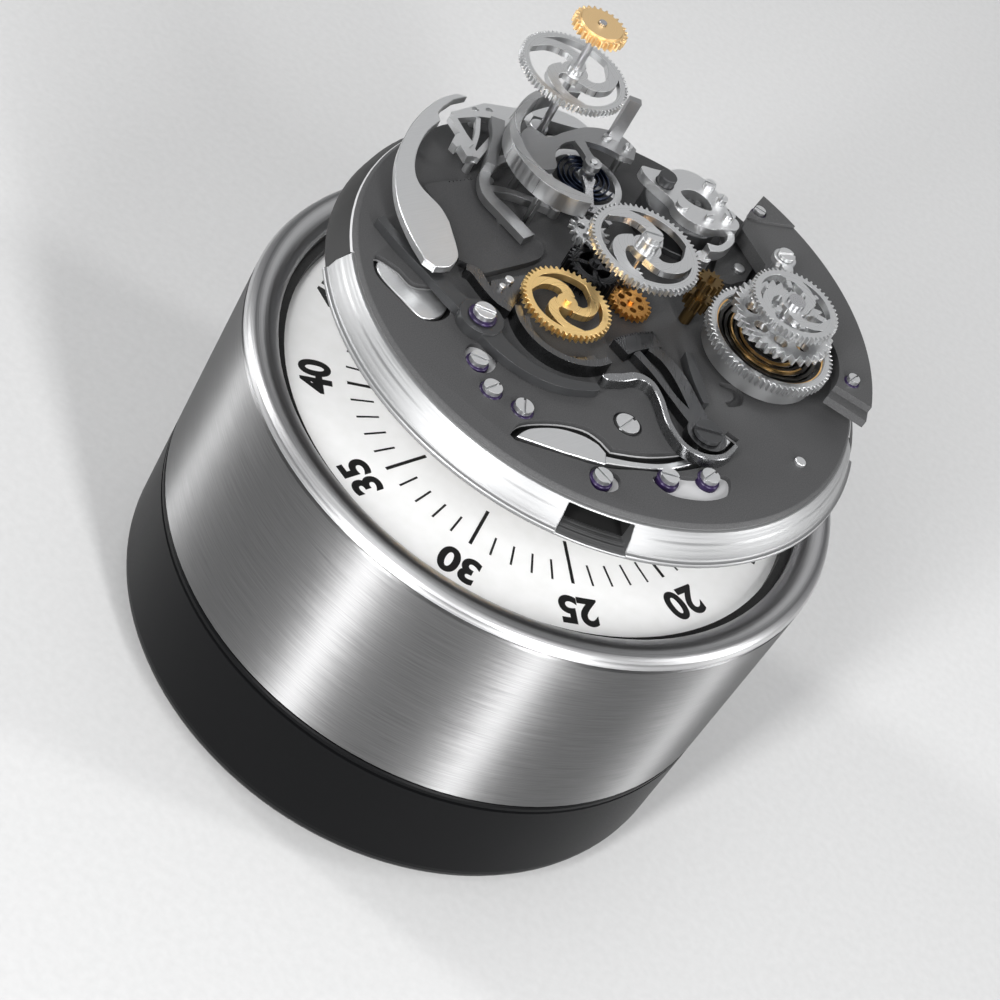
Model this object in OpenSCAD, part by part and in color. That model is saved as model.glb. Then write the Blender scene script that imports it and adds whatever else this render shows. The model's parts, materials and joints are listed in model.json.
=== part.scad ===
// Round twist timer: a steel drum with a minute dial turns on a black base,
// and an open clockwork movement stands over the dial on a fixed column.

/* [Case] */
// Outer radius of the drum and base
case_r = 39; // [34:0.5:47]
// Height of the black base
base_h = 20; // [16:0.5:26]
// Height of the steel sleeve
sleeve_h = 28; // [24:0.5:36]
// Wall of the steel sleeve
sleeve_wall = 0.8; // [0.6:0.1:1.2]
// Wall of the moulded base
base_wall = 2.6; // [2:0.1:3.4]
// Radius of the base's flat underside
base_flat_r = 31; // [26:0.5:33]
// Width of the satin bezel, seen from above
bezel_w = 4.3; // [3.4:0.1:5]
// Depth of the dial below the sleeve's top edge
dial_depth = 2.2; // [1.6:0.1:3]
// Gap between the turning drum and the base
turning_gap = 0.3; // [0.2:0.05:0.6]

/* [Column and bell] */
// Outer radius of the fixed centre column
column_r = 4; // [3.4:0.1:5]
// Bore of the column
column_bore_r = 2.2; // [1.6:0.1:2.6]
// Running clearance of every bush and bearing, on the radius
running_fit = 0.05; // [0.02:0.01:0.1]
// Outer radius of the bell
bell_r = 24; // [20:0.5:26]
// Height of the bell
bell_h = 11; // [9:0.5:12]

/* [Movement plate] */
// Radius of the movement plate at its lower edge
plate_r = 34.5; // [33:0.5:36]
// Radius of the movement plate's top face
plate_top_r = 31.9; // [31:0.1:33]
// Thickness of the movement plate
plate_t = 5; // [4:0.1:6]
// Height of the movement plate's top above the table
plate_top = 66; // [64:0.5:70]

/* [Gear train] */
// Tooth module of the barrel, idler and centre wheel
main_module = 0.2317; // [0.21:0.0001:0.245]
// Tooth module of the small wheels
fine_module = 0.2357; // [0.21:0.0001:0.24]
// Teeth of the barrel
barrel_teeth = 70; // [70]
// Teeth of the centre wheel
centre_teeth = 60; // [60]
// Centre wheel's place, left to right
centre_x = -0.4; // [-1:0.1:0.4]
// Centre wheel's place, front to back
centre_y = 4.5; // [4:0.1:5.5]
// Extra distance between meshing wheels, for backlash
mesh_play = 0.05; // [0.04:0.01:0.08]
// Radius of the balance wheel
balance_r = 5.2; // [4.6:0.1:5.3]
// Height of the counting wheel over the movement plate
counting_lift = 12.4; // [10:0.1:14]
// Height of the crown wheel over the movement plate
crown_lift = 19.4; // [16:0.1:22]

/* [Hidden] */
$fn = 96;

// A little extra so that cuts pass right through
cut = 0.02;

// Levels, from the table up
foot_h = 1.8;
base_rest = 0.6;
sleeve_z = base_h + turning_gap;
bezel_z = sleeve_z + sleeve_h;
dial_t = 1;
dial_z = bezel_z - dial_depth - dial_t;
plate_z = plate_top - plate_t;
flange_t = 2;
base_floor = base_rest + base_wall;

// Radii that follow from the case
sleeve_inner_r = case_r - sleeve_wall;
lip_r = case_r - bezel_w;
dial_r = lip_r - 1.1;
liner_wall = 2;
dial_bore_r = 6;
post_r = 0.5;

// Tooth proportions, in modules across and parts of a pitch around
tooth_add = 0.8;
tooth_ded = 1.15;
pitch_half = 0.2;
tip_half = 0.08;
root_half = 0.3;

idler_teeth = 13;
centre_pinion_teeth = 12;
third_teeth = 28;
brass_teeth = 46;
small_brass_teeth = 21;
escape_pinion_teeth = 10;
hub_teeth = 36;
arbor_teeth = 60;

// Heights over the plate's top face of the wheels' undersides, and their thickness
wheel_t = 0.9;
third_lift = 0.6;
third_t = 2.3;
small_brass_lift = 0.5;
small_brass_t = 0.8;
brass_lift = 2.0;
pinion_lift = 1.8;
pinion_t = 1.2;
centre_lift = 6.2;
barrel_lift = 1.0;
barrel_t = 3.4;
tooth_band_t = 1.2;
ratchet_lift = 6.6;
winding_lift = 9.4;
escape_lift = 3.5;
balance_lift = 1.4;
balance_t = 1.1;
fork_t = 0.6;
bridge_lift = 2;
bridge_t = 2;
c_lift = 4.6;
c_h = 2.4;

// A point at a radius and an angle
function polar(r, a) = [r * cos(a), r * sin(a)];

// Points along an arc
function arc(r, from, to, steps = 24, at = [0, 0]) =
    [for (i = [0:steps]) at + polar(r, from + (to - from) * i / steps)];

// One point of a smooth curve between b and c
function between(a, b, c, d, t) = 0.5 * (2 * b + (c - a) * t
    + (2 * a - 5 * b + 4 * c - d) * t * t + (3 * b - a - 3 * c + d) * t * t * t);

// A smooth open curve through the points of p
function curve(p, steps = 6) = concat(
    [for (i = [0:len(p) - 2]) for (s = [0:steps - 1])
        between(p[max(i - 1, 0)], p[i], p[i + 1], p[min(i + 2, len(p) - 1)], s / steps)],
    [p[len(p) - 1]]);

// A smooth closed curve through the points of p
function loop(p, steps = 6) =
    [for (i = [0:len(p) - 1]) for (s = [0:steps - 1])
        between(p[(i + len(p) - 1) % len(p)], p[i], p[(i + 1) % len(p)], p[(i + 2) % len(p)], s / steps)];

// Direction to the left of the path at point i
function side(p, i) =
    let (a = p[max(i - 1, 0)], b = p[min(i + 1, len(p) - 1)], d = b - a)
    [-d[1], d[0]] / norm(d);

// Outline of a strip that follows p = [x, y, width] smoothly
function strip(p, steps = 6) =
    let (q = curve(p, steps), c = [for (v = q) [v[0], v[1]]])
    concat(
        [for (i = [0:len(q) - 1]) c[i] + side(c, i) * q[i][2] / 2],
        [for (i = [len(q) - 1:-1:0]) c[i] - side(c, i) * q[i][2] / 2]);

// A flat piece with outline p, standing lift over the plate
module flat(p, lift, t) {
    translate([0, 0, plate_top + lift])
        linear_extrude(t)
            polygon(p);
}

// A round disc or pin standing lift over the plate
module disc(at, r, lift, t) {
    translate([at[0], at[1], plate_top + lift])
        cylinder(r = r, h = t);
}

// A turned ring: profile points are [radius, height]
module turned(profile) {
    rotate_extrude($fn = 128)
        polygon(profile);
}

// Pitch radius of a wheel
function pitch(teeth, m) = teeth * m / 2;

// Where wheel b's first tooth points when it meshes with wheel a in direction d
function mesh_phase(phase_a, teeth_a, teeth_b, d) =
    d + 180 + 180 / teeth_b - (phase_a - d) * teeth_a / teeth_b;

// Outline of a toothed wheel
function teeth_outline(teeth, m, phase) =
    let (r = pitch(teeth, m), step = 360 / teeth, root = r - tooth_ded * m, tip = r + tooth_add * m)
    [for (k = [0:teeth - 1]) for (c = [
        [root, -root_half], [r, -pitch_half], [tip, -tip_half],
        [tip, tip_half], [r, pitch_half], [root, root_half]])
        polar(c[0], phase + (k + c[1]) * step)];

// Toothed ring, open inside inner_r
module toothed_ring(teeth, m, phase, inner_r, t) {
    difference() {
        linear_extrude(t)
            polygon(teeth_outline(teeth, m, phase));
        translate([0, 0, -cut])
            cylinder(r = inner_r, h = t + 2 * cut);
    }
}

// Curved arms that sweep from a hub out to a rim
module swept_arms(count, hub_r, rim_r, width, t, turn = 100, phase = 0) {
    for (k = [0:count - 1])
        rotate(phase + k * 360 / count)
            linear_extrude(t)
                polygon(strip([for (i = [0:4])
                    let (p = polar(hub_r + (rim_r - hub_r) * pow(i / 4, 0.8), turn * i / 4))
                    [p[0], p[1], width * (1.15 - 0.1 * i)]], 4));
}

// A whole wheel: toothed rim, curved arms, hub with a bore
module armed_wheel(teeth, m, phase, rim_w, hub_r, bore_r, arm_w, t, arm_phase = 0) {
    root = pitch(teeth, m) - tooth_ded * m;
    difference() {
        union() {
            toothed_ring(teeth, m, phase, root - rim_w, t);
            swept_arms(3, hub_r * 0.8, root - rim_w / 2, arm_w, t, 100, arm_phase);
            cylinder(r = hub_r, h = t);
        }
        translate([0, 0, -cut])
            cylinder(r = bore_r, h = t + 2 * cut);
    }
}

// Axis places of the gear train, each worked out from the wheel it meshes with
centre_at = [centre_x, centre_y];
idler_dir = 7;
barrel_dir = 2.5;
idler_at = centre_at
    + polar(pitch(centre_teeth + idler_teeth, main_module) + mesh_play, idler_dir);
barrel_at = idler_at
    + polar(pitch(idler_teeth + barrel_teeth, main_module) + mesh_play, barrel_dir);
third_dir = 214;
third_at = centre_at
    + polar(pitch(centre_pinion_teeth + third_teeth, fine_module) + mesh_play, third_dir);
brass_dir = 266;
brass_at = third_at + polar(pitch(third_teeth + brass_teeth, fine_module) + mesh_play, brass_dir);
small_dir = 358;
small_at = third_at
    + polar(pitch(third_teeth + small_brass_teeth, fine_module) + mesh_play, small_dir);
escape_dir = 125;
escape_at = third_at
    + polar(pitch(third_teeth + escape_pinion_teeth, fine_module) + mesh_play, escape_dir);
arbor_module = 2 * (norm(barrel_at) - mesh_play) / (hub_teeth + arbor_teeth);
arbor_dir = atan2(barrel_at[1], barrel_at[0]);

// First-tooth angles, passed from wheel to wheel so that all are in mesh
centre_phase = 0;
idler_phase = mesh_phase(centre_phase, centre_teeth, idler_teeth, idler_dir);
barrel_phase = mesh_phase(idler_phase, idler_teeth, barrel_teeth, barrel_dir);
third_phase = mesh_phase(centre_phase, centre_pinion_teeth, third_teeth, third_dir);
brass_phase = mesh_phase(third_phase, third_teeth, brass_teeth, brass_dir);
small_phase = mesh_phase(third_phase, third_teeth, small_brass_teeth, small_dir);
escape_phase = mesh_phase(third_phase, third_teeth, escape_pinion_teeth, escape_dir);
arbor_phase = mesh_phase(0, hub_teeth, arbor_teeth, arbor_dir);

// Balance, pallet fork and tall post
balance_at = [-10.8, 16];
pallet_dir = atan2(balance_at[1] - escape_at[1], balance_at[0] - escape_at[0]);
pallet_at = escape_at + polar(4.2, pallet_dir);
crown_at = [-18.3, 18.5];

// Screw places on the plate
seat_screws = [[-10.1, -21], [-7.2, -24], [-3.2, -24], [8, -27], [14.6, -21], [18.7, -17.3]];
boss_screw = [-12.3, -15.6];
bridge_screws = [[9.8, 27.5], [28.7, 7.5]];
seat_r = 1.4;
bridge_seat_r = 1;
boss_seat_r = 1.7;
screw_r = 1.1;
bridge_screw_r = 0.75;
boss_screw_r = 1.3;

// Sizes of the separate pieces
ratchet_r = 6.5;
ratchet_teeth = 34;
foot_r = base_flat_r - 2;
foot_w = 5;
foot_seat = 1.2;
hammer_post_r = 1.2;
hammer_at = polar(bell_r + 3.6, 200);
flange_screw_angles = [30, 150, 270];
flange_screw_r = 8;
base_screw_r = 1;
base_screw_head_r = 2;
flange_r = 11;
spigot_r = 3.2;
spigot_h = 3;
bell_z = base_h + 4;
bell_t = 1.2;
hammer_z = bell_z - 7;
hammer_dir = -58;
hub_bore_r = column_r + running_fit;
hub_r = column_r + 2;
hub_z = bell_z + bell_t + 3.4;
gear_z = dial_z + dial_t + 3.4;
gear_t = 2.4;
window_from = 281;
window_to = 295;
window_sill = 0.9;
window_h = 3;
// The long slot that the polished blade lies in: its upper edge, then its lower edge
long_slot = concat(
    curve([[-3, -28.7], [-2.5, -25.8], [0.8, -22.4], [3.9, -20.7], [6.1, -20.8]]),
    curve([[7.6, -21.5], [11.3, -19], [14.8, -15.4], [17.2, -11.6], [18.4, -8]]),
    curve([[20, -8.2], [18.4, -14.4], [14.8, -19.4], [11.2, -22.4], [7.8, -25], [3, -27], [-2.2, -29]]));
left_recess = [[-26, -14.4], [-23.2, -14.2], [-20.8, -15], [-18.6, -13.5], [-17, -13], [-15.6, -15],
    [-15.8, -17.9], [-17.8, -19.8], [-21.2, -18.8], [-24.8, -17.2]];
slot_depth = 1.6;
recess_depth = 1.1;
pocket_depth = 0.7;
pockets = [
    [[-11.8, -21], [-11.7, -18.8], [-10, -18.1], [-8.3, -18.8], [-8.3, -21.4], [-10, -22.6]],
    [[6.5, -26.6], [7.2, -25.3], [9.4, -25], [10.2, -26.2], [9.7, -27.9], [8.1, -28.9], [7, -28.2]],
    [[13, -22], [14.8, -20], [17.2, -18.3], [19.6, -15.6], [21, -15.4], [21.4, -18], [19.4, -20.8],
        [16.2, -22.9], [14, -23]]];
arbor_r = 1.1;
pivot_r = 0.4;
thread_depth = 1.5;
flat_pin = [27.5, -6];
pin_r = 0.7;
pin_depth = 0.8;
plain_screw = [7.8, -16.5];
plain_screw_r = 1.45;
// How deep an arbor's pivot reaches into the plate, and its hole
pivot_depth = 1.6;
pivot_hole = 1.8;
shoulder_r = 0.9;
rim_seat_r = 31.4;
rim_from = 208;
rim_to = 368;
bridge_r = 32.5;
bridge_cut_r = 9.4;
corner_step = 0.5;
bridge_outline = concat(
    arc(bridge_r, 6.2, 73.2, 44),
    [[8.8, 26.5], [8.9, 22.8], [13.4, 18.9]],
    arc(bridge_cut_r, 112, -14, 34, barrel_at));
corner_outline = concat(arc(bridge_r + 1, 62.4, 75, 8), [[7.8, 25.6], [8.9, 25.2], [10.6, 26]]);
// Step down to the bar at the bridge's front end, and where it starts
bar_step = 0.9;
bar_y = 5.2;
lower_t = 1.4;
// Pins of the lower bridge: x, y, radius
bridge_pins = [[8.6, 22.6, 0.5], [11, 18.6, 0.75]];
cover_t = 0.9;
// Pins of the wheel cup: x, y, radius
cup_pins = [[-11.9, -6.9, 0.55], [-12.2, -8.6, 0.4]];
c_posts = [[-21.1, 17.4], [-14, 5.5]];
cock_lift = 4.6;
cock_t = 0.8;
strut_h = 7;
regulator_lift = 4.4;
regulator_post = [-2.2, 19.9];
blade_lift = 1.8;
gable_lift = 1.7;
lug_at = [16.2, -12.3];
lug_r = 1.75;
sector_t = 1.3;
arm_lift = 1.4;
seat_depth = 1.2;
seat_rise = 0.12;
shank_r = 0.5;
setting_t = 1.2;
boss_top = setting_t + 0.3;
screw_h = 0.6;
click_dir = 105;
click_at = barrel_at + polar(ratchet_r + 5.1, click_dir);
collet_r = 1.1;

// ---------------------------------------------------------------- base

module base_cup() {
    outer = concat(
        [[base_flat_r, base_rest]],
        [for (i = [1:12])
            let (a = -90 + i * 7.5)
            [base_flat_r + (case_r - base_flat_r) * cos(a), base_rest + 5 + 5 * sin(a)]],
        [[case_r, base_h - 1.2], [case_r - 0.3, base_h - 1.05], [case_r - 0.3, base_h - 0.85],
         [case_r, base_h - 0.7], [case_r, base_h - 0.2], [case_r - 0.2, base_h]]);
    inner = concat(
        [[case_r - base_wall, base_h]],
        [for (i = [12:-1:1])
            let (a = -90 + i * 7.5)
            [base_flat_r - base_wall / 2 + (case_r - base_flat_r - base_wall / 2) * cos(a),
             base_floor + 4 + 4 * sin(a)]],
        [[base_flat_r - base_wall / 2, base_floor], [0, base_floor]]);
    color("#17191c")
        difference() {
            union() {
                turned(concat([[0, base_rest]], outer, inner));
                translate([hammer_at[0], hammer_at[1], base_floor - cut])
                    cylinder(r = hammer_post_r + 1.6, h = 2);
            }
            translate([0, 0, base_rest - cut])
                turned([[foot_r - foot_w, 0], [foot_r, 0], [foot_r, foot_seat + cut],
                    [foot_r - foot_w, foot_seat + cut]]);
            for (a = flange_screw_angles)
                rotate(a)
                    translate([flange_screw_r, 0, 0])
                        union() {
                            cylinder(r = base_screw_r + 0.15, h = base_floor + 1);
                            cylinder(r = base_screw_head_r + 0.15, h = base_rest + 1.2);
                        }
            translate([hammer_at[0], hammer_at[1], base_floor - 1])
                cylinder(r = hammer_post_r, h = 4);
        }
}

module foot_ring() {
    color("#202020")
        turned([[foot_r - foot_w, 0.3], [foot_r - foot_w + 0.3, 0], [foot_r - 0.3, 0],
            [foot_r, 0.3], [foot_r, base_rest + foot_seat], [foot_r - foot_w, base_rest + foot_seat]]);
}

module base_screws() {
    color("#8d8f92")
        for (a = flange_screw_angles)
            rotate(a)
                translate([flange_screw_r, 0, base_rest + 0.2])
                    difference() {
                        union() {
                            cylinder(r = base_screw_head_r, h = 1);
                            cylinder(r = base_screw_r, h = base_floor - base_rest - 0.2 + flange_t);
                        }
                        translate([-base_screw_head_r, -0.25, -cut])
                            cube([2 * base_screw_head_r, 0.5, 0.5]);
                    }
}

module centre_column() {
    color("#9a9da1")
        difference() {
            union() {
                turned([[0, base_floor], [flange_r, base_floor], [flange_r, base_floor + flange_t],
                    [column_r + 1.4, base_floor + flange_t], [column_r + 0.9, base_floor + flange_t + 1],
                    [column_r + 0.9, bell_z], [column_r, bell_z], [column_r, plate_z],
                    [spigot_r, plate_z], [spigot_r, plate_z + spigot_h], [0, plate_z + spigot_h]]);
            }
            translate([0, 0, base_floor - cut])
                cylinder(r = column_bore_r, h = 90);
            for (a = flange_screw_angles)
                rotate(a)
                    translate([flange_screw_r, 0, base_floor - cut])
                        cylinder(r = base_screw_r, h = flange_t + 2 * cut);
        }
}

module column_collar() {
    color("#b8babd")
        difference() {
            turned([[column_r, plate_z - 3.4], [column_r + 2, plate_z - 3.4],
                [column_r + 2.4, plate_z - 3], [column_r + 2.4, plate_z - 1.4],
                    [column_r + 6, plate_z - 1.4],
                [column_r + 6, plate_z], [column_r, plate_z]]);
            for (a = [90, 210, 330])
                rotate(a)
                    translate([column_r + 4.4, 0, plate_z - 2])
                        cylinder(r = 0.7, h = 3);
        }
}

module bell() {
    top = bell_z + bell_t;
    low = top - bell_h;
    color("#c9ccd0")
        turned(concat(
            [[column_r, bell_z], [bell_r - 6, bell_z]],
            [for (i = [1:8]) [bell_r - 6 + (6 - bell_t) * sin(i * 11.25), bell_z - 6 + 6 * cos(i * 11.25)]],
            [[bell_r - bell_t, low], [bell_r, low]],
            [for (i = [8:-1:1]) [bell_r - 6 + 6 * sin(i * 11.25), top - 7.2 + 7.2 * cos(i * 11.25)]],
            [[bell_r - 6, top], [column_r, top]]));
}

module bell_nut() {
    color("#a5a8ab")
        difference() {
            translate([0, 0, bell_z + bell_t])
                cylinder(r = 7, h = 2.4, $fn = 6);
            translate([0, 0, bell_z + bell_t - 1])
                cylinder(r = column_r, h = 5);
        }
}

module hammer_post() {
    color("#a5a8ab")
        translate([hammer_at[0], hammer_at[1], base_floor - 1])
            union() {
                cylinder(r = hammer_post_r, h = hammer_z - base_floor + 1);
                cylinder(r = hammer_post_r - 0.4, h = hammer_z - base_floor + 4.6);
            }
}

module hammer() {
    color("#8d8f92")
        translate([hammer_at[0], hammer_at[1], hammer_z + running_fit])
            difference() {
                union() {
                    cylinder(r = 2.2, h = 3);
                    rotate(hammer_dir)
                        translate([0, -0.9, 0.6])
                            cube([13, 1.8, 1.8]);
                    rotate(hammer_dir)
                        translate([13, 0, -1])
                            cylinder(r = 2.4, h = 5);
                }
                translate([0, 0, -cut])
                    cylinder(r = hammer_post_r - 0.4 + running_fit, h = 4);
            }
}

// ---------------------------------------------------------------- turning case

module drum_sleeve() {
    color("#b9bbbd")
        turned([[sleeve_inner_r, sleeve_z], [case_r - 0.15, sleeve_z], [case_r, sleeve_z + 0.15],
            [case_r, bezel_z - 0.45], [case_r - 0.25, bezel_z - 0.2], [sleeve_inner_r, bezel_z - 0.2]]);
}

// Satin ring with a rounded crown, over a narrow shadow groove
module bezel_ring() {
    rise = 1.3;
    low = bezel_z - 0.2;
    color("#c7c9cb")
        turned(concat(
            [[lip_r, low - 0.6], [lip_r + 1.2, low - 0.6], [lip_r + 1.2, low], [case_r - 0.5, low],
             [case_r - 0.5, low + 0.35], [case_r, low + 0.35]],
            [for (i = [0:16])
                let (t = i / 16)
                [case_r - 0.05 - (bezel_w - 0.1) * t,
                 low + 0.5 + rise * pow(sin(180 * pow(t, 0.85)), 0.7)]],
            [[lip_r, low + 0.4]]));
}

module dial_disc() {
    color("#f0f0ee")
        difference() {
            translate([0, 0, dial_z])
                cylinder(r = dial_r, h = dial_t, $fn = 128);
            translate([0, 0, dial_z - cut])
                cylinder(r = dial_bore_r, h = dial_t + 2 * cut);
        }
}

module drum_liner() {
    ledge = dial_z - 1.6;
    top = bezel_z - 0.8;
    color("#0d0d0e")
        turned([
            [sleeve_inner_r - liner_wall, sleeve_z + 0.4], [sleeve_inner_r, sleeve_z + 0.4],
            [sleeve_inner_r, top], [dial_r, top], [dial_r, dial_z], [dial_r - 3, dial_z],
            [dial_r - 3, ledge], [sleeve_inner_r - liner_wall, ledge - 2.4]]);
}

module drum_hub() {
    color("#cfa65a")
        turned([[hub_bore_r, hub_z], [hub_r, hub_z], [hub_r, dial_z - 1.2], [hub_r + 5, dial_z - 1.2],
            [hub_r + 5, dial_z], [dial_bore_r, dial_z], [dial_bore_r, dial_z + dial_t + 0.4],
            [hub_r - 0.6, dial_z + dial_t + 0.4], [hub_r - 0.6, gear_z + gear_t],
                [hub_bore_r, gear_z + gear_t]]);
}

module hub_gear() {
    color("#c9a050")
        translate([0, 0, gear_z])
            difference() {
                toothed_ring(hub_teeth, arbor_module, 0, hub_r - 0.6, gear_t);
                for (a = [0:60:300])
                    rotate(a)
                        translate([pitch(hub_teeth, arbor_module) * 0.8, 0, -cut])
                            cylinder(r = 0.45, h = gear_t + 1);
            }
}

module trip_cam() {
    color("#7c7e80")
        difference() {
            translate([0, 0, hub_z + 1])
                linear_extrude(2.2)
                    polygon(concat(arc(hub_r + 4, 0, 330, 48), [polar(hub_r + 1.4, 345)]));
            translate([0, 0, hub_z])
                cylinder(r = hub_r, h = 6);
        }
}

// ---------------------------------------------------------------- movement plate

module movement_plate() {
    color("#5c5c5c")
        difference() {
            turned([[spigot_r, plate_z], [plate_r - 1.2, plate_z], [plate_r - 0.4, plate_z + 0.8],
                [plate_r - 0.9, plate_z + 2.4], [plate_top_r, plate_top - 0.2],
                    [plate_top_r - 0.2, plate_top],
                [0, plate_top], [0, plate_z + spigot_h], [spigot_r, plate_z + spigot_h]]);
            // seat of the silver rim ring
            translate([0, 0, plate_z - cut])
                ring_sector(rim_seat_r, plate_r + 1, rim_from, rim_to, plate_t - 0.5 + cut);
            // window in the front of the rim
            translate([0, 0, plate_z + window_sill])
                ring_sector(plate_top_r - 3, plate_r + 1, window_from, window_to, window_h);
            flat(long_slot, -slot_depth, 3);
            flat(loop(left_recess), -recess_depth, 3);
            for (s = seat_screws)
                disc(s, seat_r, -seat_depth, 3);
            for (p = pockets)
                flat(loop(p, 4), -pocket_depth, 3);
            // comma-shaped mark and the blind hole of the flat pin
            flat(strip([[15.2, -1.2, 0.6], [17.2, -0.6, 1.4], [18, -2.2, 1.2], [17, -3.8, 0.8]]), -0.6, 3);
            disc(flat_pin, pin_r, -pin_depth, 3);
            // clear holes under the arbors
            disc(barrel_at, arbor_r + running_fit, -plate_t - cut, plate_t + 1);
            for (s = [centre_at, third_at, brass_at, small_at, escape_at, idler_at, balance_at, pallet_at])
                disc(s, pivot_r + running_fit, -pivot_hole, 4);
            disc(plain_screw, plain_screw_r + 0.35, -0.5, 1);
            for (s = [boss_screw, lug_at])
                disc(s, shoulder_r - 0.3, -thread_depth, 3);
            disc(crown_at, post_r + running_fit, -pivot_hole, 4);
        }
    color("#5c5c5c")
        difference() {
            disc(crown_at, 1.1, -cut, 1.2);
            disc(crown_at, post_r + running_fit, -1, 4);
        }
}

// Sector of a flat ring
module ring_sector(inner_r, outer_r, from, to, h) {
    linear_extrude(h)
        polygon(concat(arc(outer_r, from, to, 64), arc(inner_r, to, from, 64)));
}

module rim_ring() {
    color("#d6d8da")
        intersection() {
            difference() {
                turned([[rim_seat_r, plate_z], [plate_r - 0.9, plate_z], [plate_r - 0.5, plate_z + 0.25],
                    [plate_r, plate_z + 0.6], [plate_r, plate_z + 1.1], [plate_r - 0.5, plate_z + 1.25],
                    [plate_r - 1, plate_z + 2.6], [rim_seat_r + 0.9, plate_top - 0.9],
                        [rim_seat_r, plate_top - 0.5]]);
                translate([0, 0, plate_z + window_sill])
                    ring_sector(rim_seat_r - 3, plate_r + 1, window_from, window_to, window_h);
            }
            translate([0, 0, plate_z - 1])
                ring_sector(rim_seat_r - 1, plate_r + 1, rim_from, rim_to, plate_t + 2);
        }
}

// ---------------------------------------------------------------- bridges and covers

module barrel_bridge() {
    top = bridge_lift + bridge_t;
    color("#636363")
        difference() {
            union() {
                flat(bridge_outline, bridge_lift, bridge_t);
                for (a = [64, 26, 45])
                    disc(polar(bridge_r - 2.6, a), 1.6, 0, bridge_lift);
            }
            for (s = bridge_screws)
                disc(s, bridge_seat_r, top - seat_depth, 2);
            disc(click_at, shoulder_r - 0.3, bridge_lift + 0.5, 2);
            // the corner piece lies in its own step
            flat(corner_outline, top - corner_step, 2);
            // lower bar at the front end
            translate([20, 0, plate_top + top - bar_step])
                cube([20, bar_y, 2]);
        }
}

module bridge_corner() {
    color("#6d6d6e")
        difference() {
            intersection() {
                flat(bridge_outline, bridge_lift + bridge_t - corner_step, corner_step + 0.35);
                flat(corner_outline, bridge_lift, 2 * bridge_t);
            }
            disc(bridge_screws[0], bridge_seat_r, bridge_lift + bridge_t - 1, 2);
        }
}

// Lower plate between the cock and the barrel
module lower_bridge() {
    color("#565758")
        difference() {
            flat([[7.6, 25.2], [8.6, 25.4], [12.6, 21.6], [12.4, 17.6], [11, 15.2], [8.6, 14], [8.2, 17.6],
                [7.4, 21.6]], 0, lower_t);
            for (p = bridge_pins)
                disc([p[0], p[1]], p[2], lower_t - 0.8, 2);
        }
}

// Low dark panel with a rounded nose, left of the wheels
module train_cover() {
    color("#4b4b4c")
        difference() {
            flat(concat(
                [[-26.2, 0.4], [-24.5, 3], [-22, 6.4], [-16.6, 5.2]],
                curve([[-12.6, 3.8], [-10.6, 2.4], [-10.2, 0.4], [-11, -1.6]]),
                [[-14.7, -7.9], [-18, -8.2], [-23, -2.2]]), 0, cover_t);
            // row of small notches along the top edge
            for (i = [0:6])
                disc([-24 + 0.32 * i, 3.5 + 0.46 * i], 0.16, cover_t - 0.4, 1);
        }
}

// Curved wall behind which the brass wheel runs
module wheel_cup() {
    at = [-3.6, -8.2];
    color("#3f4042")
        difference() {
            union() {
                flat(concat(arc(7, 205, 338, 40, at), arc(6.1, 338, 205, 40, at)), 0, 1.9);
                flat(concat(arc(6.2, 205, 338, 40, at), arc(4.6, 338, 205, 40, at)), 0, 0.7);
                flat([[-10.6, -4], [-9.6, -7.6], [-9.9, -11.4], [-13.2, -9.8], [-13.6, -8.4]], 0, cover_t);
                flat(strip([[-16.8, -9.2, 0.9], [-15.6, -9, 1.5], [-13.8, -10.3, 1.2], [-11.8, -11.3, 1.1],
                    [-9.9, -11.5, 1]]), 0, 1.3);
            }
            for (p = cup_pins)
                disc([p[0], p[1]], p[2], 0.5, 2);
        }
}

// Tall C-shaped band that bridges the balance
module balance_bridge() {
    color("#bfc1c3")
        union() {
            flat(strip([[-16.8, 25.2, 0.7], [-19.2, 23, 1.2], [-21, 19, 1.1], [-21.3, 14.6, 1.2],
                [-20.7, 11, 1.3],
                [-19.1, 8.4, 1.5], [-16.8, 6.6, 1.7], [-14, 5.7, 1.9], [-11, 5.9, 1.9], [-8.7, 6.8, 1.3]]),
                c_lift, c_h);
            for (p = c_posts)
                disc(p, 0.5, 0, c_lift + 0.2);
        }
}

// Crescent shelf inside the band; it holds the top of the balance staff
module balance_cock() {
    color("#8f9193")
        difference() {
            union() {
                flat(concat(
                    curve([[-17.4, 8.9], [-19.2, 11], [-19.9, 13.6], [-19.2, 15.4], [-17, 15.6],
                        [-15.6, 18.4],
                        [-13.8, 21.6], [-11.4, 23.6], [-9.2, 24], [-7.2, 23.2]]),
                    curve([[-6.8, 21], [-8.4, 20.4], [-10.8, 20], [-13.4, 18.6], [-15, 16.2], [-15.2, 13.4],
                        [-14.2, 11], [-15.2, 9.4]])), cock_lift, cock_t);
                flat(strip([[-13.6, 18.4, 1.6], [-12.2, 17.2, 1.1], [balance_at[0], balance_at[1], 1.4]]),
                    cock_lift, cock_t);
                disc(balance_at, 1.1, cock_lift, cock_t);
                for (p = [[-17.6, 10.2], [-8.4, 22.6]])
                    disc(p, 0.5, 0, cock_lift + 0.2);
                // upright strut behind the counting wheel
                translate([-10.4, 22.8, plate_top + cock_lift])
                    rotate(20)
                        translate([-0.8, -0.5, 0])
                            cube([1.6, 1, strut_h]);
            }
            disc(balance_at, pivot_r + running_fit, cock_lift - 1, 3);
        }
}

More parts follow.
